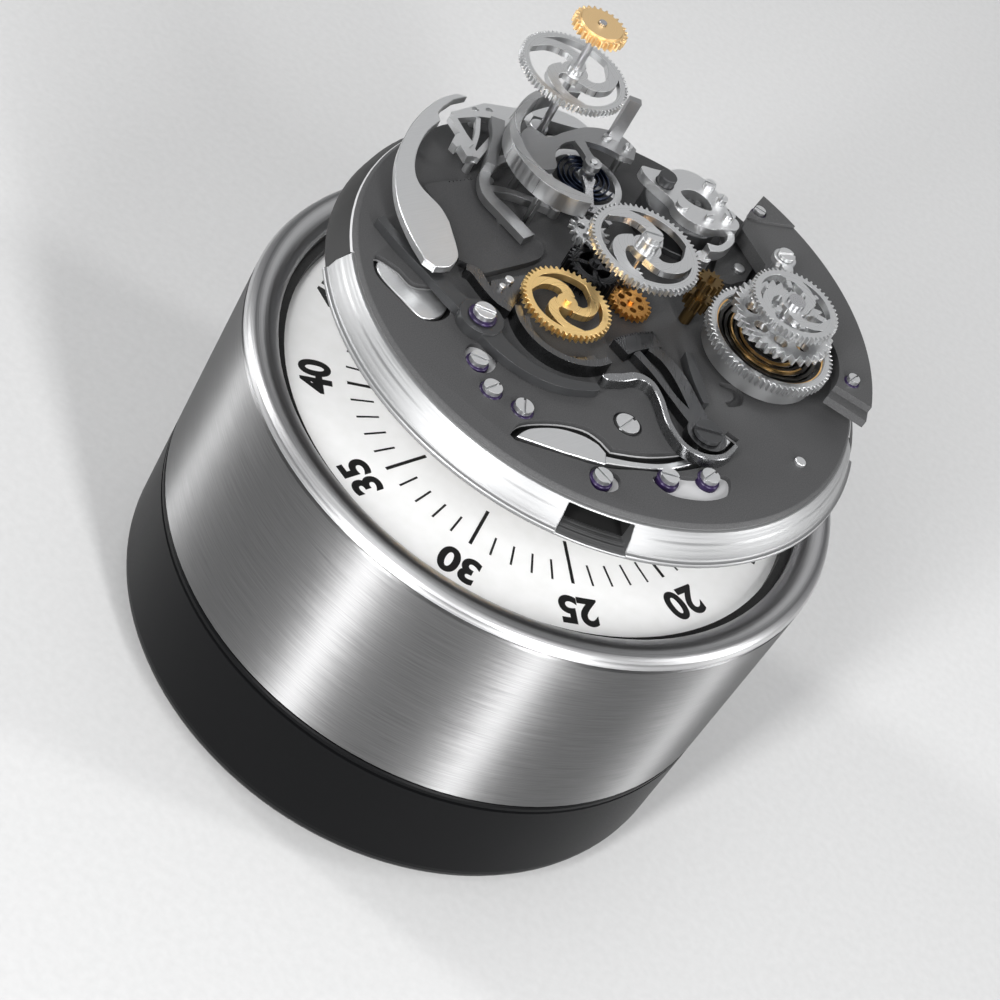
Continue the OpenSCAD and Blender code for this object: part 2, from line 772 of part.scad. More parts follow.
// Light grey cock with a round head, at the back of the plate
module regulator_cock() {
    color("#b4b6b8")
        difference() {
            union() {
                flat(loop([[-5.6, 20.4], [-4.2, 21.2], [-2.8, 22.2], [-1.4, 24.2], [0.6, 25.2], [2.8, 24.8],
                    [5, 23.4], [6.4, 21.8], [8, 21], [8.2, 19.4], [6.6, 18], [5.4, 16.6], [2.8, 15.8],
                        [0.6, 16.4],
                    [-0.4, 17.6], [-2.8, 18.4], [-4.8, 19.2]], 4), regulator_lift, 1.3);
                flat(strip([[7, 20.6, 1.2], [8.2, 18, 0.9], [7.6, 15.4, 0.9], [6.2, 14.2, 1.4]]),
                    regulator_lift - 1, 1.6);
                disc([6.3, 14], 1, 0, regulator_lift - 0.8);
                disc([1, 17.4], 0.85, regulator_lift, 1.9);
            }
            // eye-shaped window over the regulator drum
            flat(loop([[0, 20.2], [1.4, 21.8], [3.4, 21.6], [4.4, 20.2], [3.2, 19.4], [1.4, 19.2]], 4),
                regulator_lift - 1, 3);
            disc(regulator_post, 1.25, regulator_lift - 1, 4);
        }
}

// Dark hollow block under the cock
module regulator_block() {
    color("#2e2f31")
        union() {
            difference() {
                flat(loop([[-3.4, 21.6], [2, 23.4], [6, 21], [5.6, 16.6], [2.4, 15], [-1.6, 15.4],
                    [-3.6, 18]], 4),
                    0, regulator_lift);
                flat(loop([[-1.4, 17.2], [1.6, 14], [4.6, 16.4], [3, 19.6], [0, 20]], 4), 1, 2.4);
            }
            disc(regulator_post, 1.15, regulator_lift - 0.1, 2.6);
            disc([2.6, 20.6], 0.55, regulator_lift - 0.1, 0.9);
        }
}

// Long polished blade down the left edge, on two short feet
module left_blade() {
    color("#c8cacc")
        union() {
            flat(concat(
                curve([[-29.2, 17], [-30.6, 13.6], [-31.3, 7.7], [-30.7, 1.2], [-29.2, -3.7], [-27, -7.9],
                    [-24.1, -11.3], [-21.1, -13.9]]),
                curve([[-19.6, -14.1], [-18.3, -12.6], [-18.1, -10.4], [-19.2, -8.4]]),
                curve([[-21.2, -5.6], [-23, -4.1], [-26.1, -2.7], [-27.8, -0.6], [-28.9, 2.8], [-29.3, 7.1],
                    [-28.8, 10.4]]),
                [[-29.6, 11.6], [-29.5, 13.2], [-29, 15.6], [-27.9, 17.6]]), blade_lift, 1);
            disc([-22, -8.4], 1.3, 0, blade_lift + 0.1);
            disc([-30.1, 6], 0.7, 0, blade_lift + 0.1);
        }
}

// Light triangular plates with slots, at the upper left
module gable_plates() {
    color("#a9abad")
        union() {
            difference() {
                flat([[-28.4, 13.4], [-25.8, 18.6], [-22.2, 21.4], [-22.3, 18.2], [-25.4, 15.6],
                    [-27.6, 12.6]],
                    gable_lift, 0.9);
                for (p = [[-26.2, 16.4], [-24.8, 17.8]])
                    flat(arc(0.5, 20, 250, 10, p), gable_lift + 0.4, 1);
            }
            flat(strip([[-28, 12.8, 1], [-25.2, 10.4, 0.9], [-22.9, 8.2, 0.9]]), gable_lift, 0.9);
            flat(strip([[-22.5, 18.6, 0.9], [-22.6, 13.4, 0.8], [-22.9, 8.2, 0.9]]), gable_lift, 0.9);
            flat(strip([[-25.4, 15.6, 0.6], [-24.4, 12.6, 0.6], [-23.8, 9.2, 0.6]]), gable_lift, 0.7);
            flat([[-26.4, 9.6], [-25.6, 10.9], [-24, 9.8], [-24.2, 8.6], [-23.2, 7.6], [-23.8, 6.9],
                [-25.2, 8.1],
                [-25.4, 7.4], [-26.2, 7.7]], gable_lift, 1.2);
            for (p = [[-25.8, 17], [-22.5, 19.4]])
                disc(p, 0.5, 0, gable_lift + 0.1);
            disc([-23.2, 8.3], 0.5, 0, gable_lift + 0.1);
            flat(strip([[-20.6, 23.6, 1.6], [-18.4, 25.2, 2.6], [-15.6, 26.4, 2.2], [-13.8, 26.8, 0.8]]),
                0, 1.9);
            flat([[-17.4, 21.4], [-13.6, 25], [-12.2, 25.2], [-13.6, 23], [-16.4, 20.6]], 0, 1.5);
        }
}

// Bright scalloped plate sunk in the lower left of the plate
module scallop_plate() {
    color("#c3c5c7")
        flat(loop([[-25.4, -14.8], [-23.2, -14.8], [-20.8, -15.6], [-18.6, -14.1], [-17.2, -13.7],
            [-16.2, -15.2],
            [-16.4, -17.6], [-18, -19.2], [-21, -18.2], [-24.4, -16.6]]), -recess_depth, 0.8);
}

// Polished blade and strip lying in the long slot
module slot_blade() {
    color("#d2d4d6")
        union() {
            flat(concat(
                curve([[-2.3, -28.2], [-1.4, -25.9], [1.2, -23.4], [4, -22.2], [6, -22.1]]),
                [[7.2, -22.7], [7.7, -24.4], [3.2, -26.3]]), -slot_depth, slot_depth - 0.1);
            flat(strip([[7.2, -23.6, 1.1], [10.6, -21.5, 0.8], [13.8, -18.9, 0.8], [16.6, -15, 0.8],
                [18.4, -11.4, 0.7], [19, -8.9, 0.6]]), -slot_depth, slot_depth - 0.3);
        }
}

// Slotted lug that the sector lever turns on, and the dark rod beside it
module spring_lug() {
    color("#4a4b4d")
        union() {
            slotted_screw(lug_at, lug_r, plate_top + sector_t + 0.15, shoulder_r, sector_t + 0.15, 0.5, 25);
            disc(lug_at, shoulder_r - 0.3, -thread_depth, 2);
        }
    color("#303133")
        flat(strip([[10.2, -0.8, 1], [11.8, -3.2, 1.4], [13.5, -5.8, 1.1], [14.6, -7.3, 0.7]]), 0, 1.3);
}

// S-shaped spring standing on edge
module ribbon_spring() {
    color("#9c9ea1")
        flat(strip([[2.7, -13.3, 0.5], [3.4, -12.8, 1.1], [4.8, -11.5, 1.2], [6.2, -9.9, 1.1],
            [8, -9.7, 0.9],
            [9.8, -11.3, 0.8], [11.8, -14.2, 0.8], [14.4, -16.1, 0.8], [17, -15.9, 0.8], [19, -14.1, 0.8],
            [19.8, -11.2, 0.6]]), 0, 1.5);
}

// Dark Y-shaped arm, screwed down at its root
module stop_arm() {
    color("#77797b")
        union() {
            flat(strip([[-18.9, 13, 1], [-20.6, 10, 1.2], [-20.9, 6.6, 1.3], [-19.4, 3.6, 1.6],
                [-16.4, 2.2, 1.9],
                [-12.6, 0.5, 1.9]]), arm_lift, 1);
            flat(strip([[-19.8, 4.4, 1.2], [-17.4, 6.1, 1], [-14.4, 7.2, 1], [-11.6, 8, 0.9]]),
                arm_lift, 1);
            flat(strip([[-23.3, 15.8, 1.8], [-22, 12.4, 1.5], [-21.4, 9.4, 1.3], [-20.9, 7, 1.2]]),
                arm_lift + 1.3, 1);
            flat(strip([[-21.6, 9.8, 1.2], [-20.9, 7, 1.3]]), arm_lift + 0.5, 1.2);
            disc([-20.2, 7.2], 0.6, 0, arm_lift + 0.1);
            disc([-16.4, 2.2], 0.6, cover_t, arm_lift - cover_t + 0.1);
            disc([-11.8, 7.9], 0.75, arm_lift, 1.3);
        }
}

// ---------------------------------------------------------------- screws and pins

// Dark violet collar that a screw head sits in
module seat(at, r, level, depth) {
    translate([at[0], at[1], level - depth])
        turned([[shank_r, 0], [r, 0], [r, depth + seat_rise - 0.15], [r - 0.15, depth + seat_rise],
            [shank_r, depth + seat_rise]]);
}

module screw_seats() {
    color("#2c1f3f")
        union() {
            for (s = seat_screws)
                seat(s, seat_r, plate_top, seat_depth);
            for (s = bridge_screws)
                seat(s, bridge_seat_r, plate_top + bridge_lift + bridge_t, seat_depth);
            translate([boss_screw[0], boss_screw[1], plate_top + boss_top])
                turned([[shoulder_r, 0], [boss_seat_r, 0], [boss_seat_r, 0.2], [boss_seat_r - 0.15, 0.35],
                    [shoulder_r, 0.35]]);
        }
}

// Slotted screw with its head on level
module slotted_screw(at, head_r, level, shank_r, shank_l, head_t, slot_dir) {
    translate([at[0], at[1], level])
        difference() {
            union() {
                cylinder(r = head_r, h = head_t);
                translate([0, 0, -shank_l])
                    cylinder(r = shank_r, h = shank_l + cut);
            }
            rotate(slot_dir)
                translate([-head_r - 1, -head_r * 0.14, head_t * 0.55])
                    cube([2 * head_r + 2, head_r * 0.28, head_t]);
        }
}

module countersunk_screws() {
    level = plate_top + seat_rise;
    color("#d8dadd")
        union() {
            for (i = [0:len(seat_screws) - 1])
                slotted_screw(seat_screws[i], screw_r, level, shank_r, seat_rise + seat_depth, screw_h,
                    15 + 47 * i);
            for (i = [0:len(bridge_screws) - 1])
                slotted_screw(bridge_screws[i], bridge_screw_r, level + bridge_lift + bridge_t, shank_r,
                    seat_rise + seat_depth, screw_h, 70 * i);
        }
}

// Shouldered screws that the levers and the click turn on
module shoulder_screws() {
    color("#d8dadd")
        union() {
            slotted_screw(boss_screw, boss_screw_r, plate_top + boss_top + 0.35, shoulder_r,
                boss_top + 0.35,
                0.7, 15);
            disc(boss_screw, shoulder_r - 0.3, -thread_depth, 2);
            slotted_screw(click_at, 1.1, plate_top + ratchet_lift + 1, shoulder_r,
                ratchet_lift + 1 - bridge_lift - bridge_t, 0.5, 40);
            disc(click_at, shoulder_r - 0.3, bridge_lift + 0.5, 2);
        }
}

// Screws that lie flat on the plate and the cocks
module flat_screws() {
    top = plate_top + regulator_lift + 1.3;
    color("#c9cbce")
        union() {
            slotted_screw(plain_screw, plain_screw_r, plate_top - 0.5, 0.6, 0, 0.65, 72);
            slotted_screw([2.7, 23.8], 0.75, top, 0.4, 0, 0.9, 20);
            slotted_screw([4.8, 22.5], 0.7, top, 0.4, 0, 0.9, 80);
            slotted_screw([6.6, 20.4], 0.7, top, 0.4, 0, 0.8, 130);
            slotted_screw([4.6, 18.2], 0.6, top, 0.4, 0, 0.6, 50);
            slotted_screw([-11, 21.6], 0.55, plate_top + cock_lift + cock_t, 0.3, 0, 0.5, 40);
            slotted_screw([-8.2, 22.4], 0.5, plate_top + cock_lift + cock_t, 0.3, 0, 0.5, 100);
        }
}

module locating_pins() {
    color("#a7a9ab")
        union() {
            disc(flat_pin, pin_r, -pin_depth, 1.2);
            for (p = bridge_pins)
                disc([p[0], p[1]], p[2], lower_t - 0.8, 1.3);
            for (p = cup_pins)
                disc([p[0], p[1]], p[2], 0.5, 0.9);
            disc([-18.6, -9.9], 0.45, 0, 0.9);
            disc([-18.8, 21.4], 1.2, 0, 2.2);
        }
}

// ---------------------------------------------------------------- winding group

// Shaft that the drum winds, with its big gear under the plate
module winding_arbor() {
    color("#8c8e91")
        translate([barrel_at[0], barrel_at[1], 0])
            difference() {
                union() {
                    translate([0, 0, gear_z])
                        toothed_ring(arbor_teeth, arbor_module, arbor_phase,
                            pitch(arbor_teeth, arbor_module) * 0.8, gear_t);
                    translate([0, 0, gear_z + 0.4])
                        swept_arms(3, 2, pitch(arbor_teeth, arbor_module) * 0.84, 2.6, gear_t - 0.8);
                    translate([0, 0, gear_z - 0.4])
                        cylinder(r = 2.8, h = gear_t + 0.8);
                    translate([0, 0, gear_z])
                        cylinder(r = arbor_r, h = plate_top + winding_lift + 1.4 - gear_z);
                }
                translate([0, 0, gear_z - 1])
                    cylinder(r = 0.5, h = 3);
            }
}

module ratchet_wheel() {
    color("#9fa1a4")
        translate([barrel_at[0], barrel_at[1], plate_top + ratchet_lift])
            difference() {
                union() {
                    linear_extrude(1)
                        polygon([for (k = [0:ratchet_teeth - 1])
                            for (c = [[ratchet_r - 0.8, 0], [ratchet_r, 0.12], [ratchet_r, 0.34]])
                                polar(c[0], (k + c[1]) * 360 / ratchet_teeth)]);
                    cylinder(r = 2.2, h = 1.6);
                }
                for (a = [0:40:320])
                    rotate(a)
                        translate([4.2, 0, -cut])
                            cylinder(r = 0.9, h = 2);
                translate([0, 0, -cut])
                    cylinder(r = arbor_r, h = 2);
            }
}

module winding_wheel() {
    color("#c4c6c9")
        translate([barrel_at[0], barrel_at[1], plate_top + winding_lift])
            union() {
                armed_wheel(52, 0.212, 0, 0.7, 1.8, arbor_r, 1.3, 0.9, 30);
                for (a = [0:60:300])
                    rotate(a)
                        translate([2.6, -0.3, 0])
                            cube([1.5, 0.6, 0.9]);
            }
}

// Pawl that lets the ratchet wheel turn one way
module click() {
    color("#b9bbbd")
        translate([click_at[0], click_at[1], plate_top + ratchet_lift + 0.05])
            difference() {
                union() {
                    cylinder(r = 1.5, h = 0.9);
                    rotate(click_dir + 180)
                        linear_extrude(0.9)
                            polygon(strip([[0, 0, 1.8], [2.4, 0.5, 1.3], [4.7, 0, 0.5]], 4));
                }
                translate([0, 0, -cut])
                    cylinder(r = shoulder_r + running_fit, h = 2);
            }
}

// ---------------------------------------------------------------- train

module barrel() {
    r = pitch(barrel_teeth, main_module) - tooth_ded * main_module;
    color("#a8aaac")
        translate([barrel_at[0], barrel_at[1], plate_top + barrel_lift])
            difference() {
                union() {
                    translate([0, 0, barrel_t - tooth_band_t])
                        toothed_ring(barrel_teeth, main_module, barrel_phase, r - 0.7, tooth_band_t);
                    difference() {
                        cylinder(r = r - 0.4, h = barrel_t - 0.1);
                        translate([0, 0, 0.6])
                            cylinder(r = r - 0.8, h = barrel_t);
                    }
                    cylinder(r = arbor_r + 0.7, h = barrel_t - 0.2);
                }
                translate([0, 0, -cut])
                    cylinder(r = arbor_r + running_fit, h = barrel_t + 1);
            }
}

// Coiled mainspring, seen in the open barrel
module mainspring() {
    inner = arbor_r + 0.7;
    outer = pitch(barrel_teeth, main_module) - tooth_ded * main_module - 0.85;
    turns = 7;
    steps = 20;
    thick = 0.42;
    function r(i) = inner + thick / 2 + (outer - inner - thick) * i / (turns * steps);
    color("#5a4a2c")
        translate([barrel_at[0], barrel_at[1], plate_top + barrel_lift + 0.6])
            linear_extrude(barrel_t - 1.1)
                polygon(concat(
                    [for (i = [0:turns * steps]) polar(r(i) + thick / 2, i * 360 / steps)],
                    [for (i = [turns * steps:-1:0]) polar(r(i) - thick / 2, i * 360 / steps)]));
}

module idler_pinion() {
    color("#8a6a3a")
        translate([idler_at[0], idler_at[1], plate_top])
            union() {
                for (band = [[barrel_lift + barrel_t - tooth_band_t - 0.3, tooth_band_t + 0.5],
                        [centre_lift - 0.2, wheel_t + 0.4]])
                    translate([0, 0, band[0]])
                        linear_extrude(band[1])
                            polygon(teeth_outline(idler_teeth, main_module, idler_phase));
                translate([0, 0, 0.3])
                    cylinder(r = 0.8, h = centre_lift);
                translate([0, 0, -pivot_depth])
                    cylinder(r = pivot_r, h = centre_lift + wheel_t + pivot_depth + 0.8);
            }
}

module centre_wheel() {
    color("#c4c6c9")
        translate([centre_at[0], centre_at[1], plate_top])
            union() {
                translate([0, 0, centre_lift])
                    armed_wheel(centre_teeth, main_module, centre_phase, 0.8, 1.9, 0.9, 1.7, wheel_t, 62);
                translate([0, 0, centre_lift - 0.4])
                    difference() {
                        cylinder(r = 1.3, h = 2.6);
                        translate([0, 0, 1.6])
                            cylinder(r = 0.6, h = 2);
                    }
                translate([0, 0, pinion_lift])
                    linear_extrude(pinion_t)
                        polygon(teeth_outline(centre_pinion_teeth, fine_module, centre_phase));
                translate([0, 0, -pivot_depth])
                    cylinder(r = pivot_r, h = centre_lift + pivot_depth + 0.6);
            }
}

module centre_screw() {
    color("#dfe1e3")
        slotted_screw(centre_at, 1.15, plate_top + centre_lift + 2.2, 0.6, 1, 0.8, 25);
}

module third_wheel() {
    color("#2b2c2e")
        translate([third_at[0], third_at[1], plate_top])
            union() {
                translate([0, 0, third_lift])
                    difference() {
                        union() {
                            toothed_ring(third_teeth, fine_module, third_phase, 2.1, third_t);
                            for (a = [0:90:270])
                                rotate(a + 20)
                                    translate([0, -0.3, third_t - 0.9])
                                        cube([2.4, 0.6, 0.9]);
                            cylinder(r = 0.9, h = third_t + 0.2);
                        }
                        translate([0, 0, -cut])
                            cylinder(r = pivot_r, h = third_t + 1);
                    }
                translate([0, 0, -pivot_depth])
                    cylinder(r = pivot_r, h = third_t + pivot_depth + 1.2);
            }
}

module small_brass_wheel() {
    color("#d9923a")
        translate([small_at[0], small_at[1], plate_top])
            difference() {
                union() {
                    translate([0, 0, small_brass_lift])
                        linear_extrude(small_brass_t)
                            polygon(teeth_outline(small_brass_teeth, fine_module, small_phase));
                    translate([0, 0, -pivot_depth])
                        cylinder(r = pivot_r, h = small_brass_t + pivot_depth + 0.8);
                }
                for (a = [0:60:300])
                    rotate(a)
                        translate([1.35, 0, 0.2])
                            cylinder(r = 0.42, h = 2);
            }
}

module brass_wheel() {
    color("#e8b95c")
        translate([brass_at[0], brass_at[1], plate_top])
            union() {
                translate([0, 0, brass_lift])
                    armed_wheel(brass_teeth, fine_module, brass_phase, 0.7, 1.3, pivot_r, 1.25, wheel_t,
                        95);
                translate([0, 0, -pivot_depth])
                    cylinder(r = pivot_r, h = brass_lift + wheel_t + pivot_depth + 0.4);
                translate([0, 0, 0.4])
                    cylinder(r = 0.8, h = brass_lift - 0.4);
            }
}

module escape_wheel() {
    color("#b5b7ba")
        translate([escape_at[0], escape_at[1], plate_top])
            union() {
                translate([0, 0, pinion_lift])
                    linear_extrude(pinion_t)
                        polygon(teeth_outline(escape_pinion_teeth, fine_module, escape_phase));
                translate([0, 0, escape_lift])
                    difference() {
                        linear_extrude(0.5)
                            polygon([for (k = [0:14]) for (c = [[2, 0], [2.7, 0.3], [2.6, 0.42], [2, 0.5]])
                                polar(c[0], (k + c[1]) * 24)]);
                        for (a = [0:90:270])
                            rotate(a)
                                translate([1.2, 0, -cut])
                                    cylinder(r = 0.5, h = 1);
                    }
                translate([0, 0, -pivot_depth])
                    cylinder(r = pivot_r, h = escape_lift + pivot_depth + 0.9);
            }
}

// Tall thin arbor that the counting wheel and the crown are fixed on
module crown_arbor() {
    color("#b5b7ba")
        union() {
            disc(crown_at, post_r, -pivot_depth, crown_lift + pivot_depth + 1.6);
            disc(crown_at, 0.9, 1.25, 0.5);
        }
}

module counting_wheel() {
    color("#c4c6c9")
        translate([crown_at[0], crown_at[1], plate_top + counting_lift])
            difference() {
                union() {
                    armed_wheel(72, 0.19, 0, 0.7, 1.7, post_r, 1.5, wheel_t, 80);
                    cylinder(r = 0.95, h = wheel_t + 0.7);
                }
                translate([0, 0, -cut])
                    cylinder(r = post_r, h = 3);
            }
}

module crown_wheel() {
    color("#e3b26a")
        translate([crown_at[0], crown_at[1], plate_top + crown_lift])
            difference() {
                union() {
                    linear_extrude(1.1)
                        polygon(teeth_outline(26, 0.25, 0));
                    cylinder(r = 2.7, h = 1.3);
                }
                translate([0, 0, -cut])
                    cylinder(r = post_r, h = 2);
            }
}

// ---------------------------------------------------------------- regulating group

module balance_wheel() {
    color("#c0c2c5")
        translate([balance_at[0], balance_at[1], plate_top])
            union() {
                translate([0, 0, balance_lift])
                    difference() {
                        cylinder(r = balance_r, h = balance_t);
                        translate([0, 0, -cut])
                            cylinder(r = balance_r - 0.9, h = balance_t + 1);
                    }
                translate([0, 0, balance_lift + 0.2])
                    for (a = [0:120:240])
                        rotate(a + 10)
                            translate([0, -0.45, 0])
                                cube([balance_r - 0.5, 0.9, 0.7]);
                translate([0, 0, balance_lift])
                    cylinder(r = collet_r, h = balance_t + 0.7);
                translate([0, 0, -pivot_depth])
                    cylinder(r = pivot_r, h = c_lift + pivot_depth + 1);
                translate([0, 0, escape_lift - 0.1])
                    cylinder(r = 0.9, h = 0.7);
            }
}

module hairspring() {
    turns = 4;
    steps = 18;
    thick = 0.14;
    reach = 2.7;
    function r(i) = collet_r + thick / 2 + reach * i / (turns * steps);
    color("#5570a0")
        translate([balance_at[0], balance_at[1], plate_top + balance_lift + balance_t + 0.1])
            linear_extrude(0.5)
                polygon(concat(
                    [for (i = [0:turns * steps]) polar(r(i) + thick / 2, i * 360 / steps)],
                    [for (i = [turns * steps:-1:0]) polar(r(i) - thick / 2, i * 360 / steps)]));
}

module pallet_fork() {
    color("#a7a9ab")
        translate([pallet_at[0], pallet_at[1], plate_top])
            rotate(pallet_dir)
                union() {
                    translate([0, 0, escape_lift])
                        linear_extrude(fork_t)
                            polygon(concat(
                                [[5.6, -0.9], [5.9, -0.4], [4.9, -0.3], [4.9, 0.3], [5.9, 0.4], [5.6, 0.9]],
                                [[3.6, 0.5], [0.8, 0.6], [0, 1.9], [-1.5, 3], [-2, 2.5], [-0.8, 1.3]],
                                [[-0.8, -1.3], [-2, -2.5], [-1.5, -3], [0, -1.9], [0.8, -0.6],
                                    [3.6, -0.5]]));
                    translate([0, 0, -pivot_depth])
                        cylinder(r = pivot_r, h = escape_lift + fork_t + pivot_depth + 0.4);
                }
}

// Dark lever low on the left, turning about its boss screw
module setting_lever() {
    color("#4f5052")
        difference() {
            union() {
                flat(strip([[-28, -9.6, 1.1], [-24.4, -11.4, 1.4], [-20, -13, 1.8], [-16, -14.7, 2.2],
                    [-12.3, -15.6, 3.2], [-9.4, -17.6, 2.6], [-5, -18.6, 2], [-1, -17.8, 1.7],
                        [2.2, -15.7, 1.2],
                    [2.9, -14.9, 0.8]]), 0.05, setting_t);
                disc(boss_screw, 2.7, 0.05, boss_top - 0.1);
            }
            disc(boss_screw, shoulder_r + running_fit, 0, 3);
        }
}

// Chrome lever with a toothed sector, turning on the lug
module fork_lever() {
    inner_r = 13.1;
    outer_r = 15.6;
    tooth = 0.45;
    teeth = 16;
    from = 134;
    to = 158;
    color("#6a6c6f")
        difference() {
            union() {
                flat(concat(
                    [for (k = [0:teeth - 1]) for (c = [[outer_r - tooth, 0], [outer_r, 0.35],
                        [outer_r, 0.65]])
                        lug_at + polar(c[0], from + (to - from) * (k + c[1]) / teeth)],
                    arc(inner_r, to, from, 16, lug_at)), 0.1, sector_t);
                flat(strip([[14.6, -11.4, 2], [12.6, -10.5, 1.4], [10.8, -9.5, 1], [7.6, -7.4, 1],
                    [4.8, -6, 1.2]]), 0.1, sector_t - 0.1);
                flat(strip([[15.4, -11, 2.2], [13, -8.3, 1.9], [10.4, -5.7, 1.8], [8, -4.2, 1.6],
                    [6, -3.8, 1.6]]), 0.1, sector_t - 0.1);
                disc(lug_at, 2.5, 0.1, sector_t);
            }
            disc(lug_at, shoulder_r + running_fit, 0, 3);
        }
}

base_cup();
foot_ring();
base_screws();
centre_column();
column_collar();
bell();
bell_nut();
hammer_post();
hammer();
drum_sleeve();
bezel_ring();
dial_disc();
drum_liner();
drum_hub();
hub_gear();
trip_cam();
movement_plate();
rim_ring();
lower_bridge();
barrel_bridge();
bridge_corner();
train_cover();
wheel_cup();
balance_bridge();
balance_cock();
regulator_cock();
regulator_block();
left_blade();
gable_plates();
scallop_plate();
slot_blade();
spring_lug();
ribbon_spring();
stop_arm();
screw_seats();
countersunk_screws();
flat_screws();
locating_pins();
shoulder_screws();
winding_arbor();
ratchet_wheel();
winding_wheel();
click();
barrel();
mainspring();
idler_pinion();
centre_wheel();
centre_screw();
third_wheel();
small_brass_wheel();
brass_wheel();
escape_wheel();
crown_arbor();
counting_wheel();
crown_wheel();
balance_wheel();
hairspring();
pallet_fork();
setting_lever();
fork_lever();
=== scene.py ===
import json
import math

import bpy
from mathutils import Matrix, Vector


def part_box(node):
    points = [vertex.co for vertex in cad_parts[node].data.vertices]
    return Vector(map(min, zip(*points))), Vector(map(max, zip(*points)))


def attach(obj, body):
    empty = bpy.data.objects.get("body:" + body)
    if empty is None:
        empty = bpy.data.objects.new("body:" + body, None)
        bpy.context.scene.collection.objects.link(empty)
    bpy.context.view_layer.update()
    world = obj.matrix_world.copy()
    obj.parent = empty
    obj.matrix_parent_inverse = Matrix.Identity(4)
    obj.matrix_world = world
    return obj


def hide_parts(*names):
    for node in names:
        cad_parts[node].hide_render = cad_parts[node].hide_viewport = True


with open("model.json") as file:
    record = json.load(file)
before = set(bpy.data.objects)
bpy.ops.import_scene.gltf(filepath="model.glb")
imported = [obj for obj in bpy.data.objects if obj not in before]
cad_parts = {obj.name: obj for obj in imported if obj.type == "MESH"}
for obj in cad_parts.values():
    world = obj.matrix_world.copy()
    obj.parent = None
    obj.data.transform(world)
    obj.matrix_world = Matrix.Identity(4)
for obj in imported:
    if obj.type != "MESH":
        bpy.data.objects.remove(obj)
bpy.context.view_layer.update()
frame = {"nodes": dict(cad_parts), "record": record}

# ---------------------------------------------------------------- camera, table and light
# The timer stands on a wide pale table, lit by softboxes on all sides. A long lens looks down
# on it from the front, rolled about its own axis, so that the upright timer leans in the view.
mm = 0.001
camera_place = (-9.5 * mm, -234.6 * mm, 240 * mm)
camera_azimuth = -92.637
camera_elevation = 41.568
camera_roll = 33.313


def direction(azimuth, elevation):
    """The way from the timer out to a camera or a light, from two angles in degrees."""
    turn = math.radians(azimuth)
    rise = math.radians(elevation)
    return Vector((math.cos(turn) * math.cos(rise), math.sin(turn) * math.cos(rise), math.sin(rise)))


camera_data = bpy.data.cameras.new("camera")
camera_data.lens = 90
camera_data.sensor_width = 36
camera_data.clip_start = 0.01
camera_data.clip_end = 20
camera = bpy.data.objects.new("camera", camera_data)
bpy.context.scene.collection.objects.link(camera)
level_view = direction(camera_azimuth, camera_elevation).to_track_quat("Z", "Y").to_matrix().to_4x4()
roll = Matrix.Rotation(math.radians(camera_roll), 4, "Z")
camera.matrix_world = Matrix.Translation(camera_place) @ level_view @ roll
bpy.context.scene.camera = camera
bpy.context.scene.view_settings.view_transform = "Standard"


def deselect_all():
    bpy.ops.object.select_all(action="DESELECT")


def make_material(name, colour, metallic, roughness):
    """An even material, to which a finish is then added."""
    material = bpy.data.materials.new(name)
    material.use_nodes = True
    shader = material.node_tree.nodes["Principled BSDF"]
    shader.inputs["Base Color"].default_value = (*colour, 1)
    shader.inputs["Metallic"].default_value = metallic
    shader.inputs["Roughness"].default_value = roughness
    return material


def add_noise(material, scale, detail):
    """A noise pattern from 0 to 1 on the piece's own coordinates; scale is per metre."""
    nodes = material.node_tree.nodes
    links = material.node_tree.links
    place = nodes.new("ShaderNodeTexCoord")
    noise = nodes.new("ShaderNodeTexNoise")
    noise.inputs["Scale"].default_value = scale
    noise.inputs["Detail"].default_value = detail
    links.new(place.outputs["Object"], noise.inputs["Vector"])
    return noise.outputs["Fac"]


# Noise seldom leaves this stretch of 0 to 1, so a finish is spread over it.
noise_low = 0.3
noise_high = 0.7


def tint(material, pattern, dark, light):
    """Colours a surface between two tones by a pattern."""
    nodes = material.node_tree.nodes
    links = material.node_tree.links
    ramp = nodes.new("ShaderNodeValToRGB")
    ramp.color_ramp.elements[0].position = noise_low
    ramp.color_ramp.elements[1].position = noise_high
    ramp.color_ramp.elements[0].color = (*dark, 1)
    ramp.color_ramp.elements[1].color = (*light, 1)
    links.new(pattern, ramp.inputs["Fac"])
    links.new(ramp.outputs["Color"], nodes["Principled BSDF"].inputs["Base Color"])


table_width = 6
deselect_all()
bpy.ops.mesh.primitive_plane_add(size=table_width, location=(0, 0, 0))
table = bpy.context.object
table.name = "table"
table_paint = make_material("table paint", (0.5, 0.5, 0.5), metallic=0, roughness=0.65)
paint_grain = add_noise(table_paint, scale=900, detail=4)
tint(table_paint, paint_grain, (0.485, 0.485, 0.485), (0.515, 0.515, 0.515))
table.data.materials.append(table_paint)

world = bpy.data.worlds.new("studio")
world.use_nodes = True
world.node_tree.nodes["Background"].inputs["Color"].default_value = (0.55, 0.56, 0.58, 1)
world.node_tree.nodes["Background"].inputs["Strength"].default_value = 0.3
bpy.context.scene.world = world

aim_point = Vector((0, 0, 50 * mm))


def add_softbox(name, azimuth, elevation, distance, width, height, power):
    """A soft light that faces the movement from a given direction, in degrees, metres and watts."""
    data = bpy.data.lights.new(name, "AREA")
    data.shape = "RECTANGLE"
    data.size = width
    data.size_y = height
    data.energy = power
    light = bpy.data.objects.new(name, data)
    bpy.context.scene.collection.objects.link(light)
    towards = direction(azimuth, elevation)
    light.location = aim_point + towards * distance
    light.rotation_euler = towards.to_track_quat("Z", "Y").to_euler()


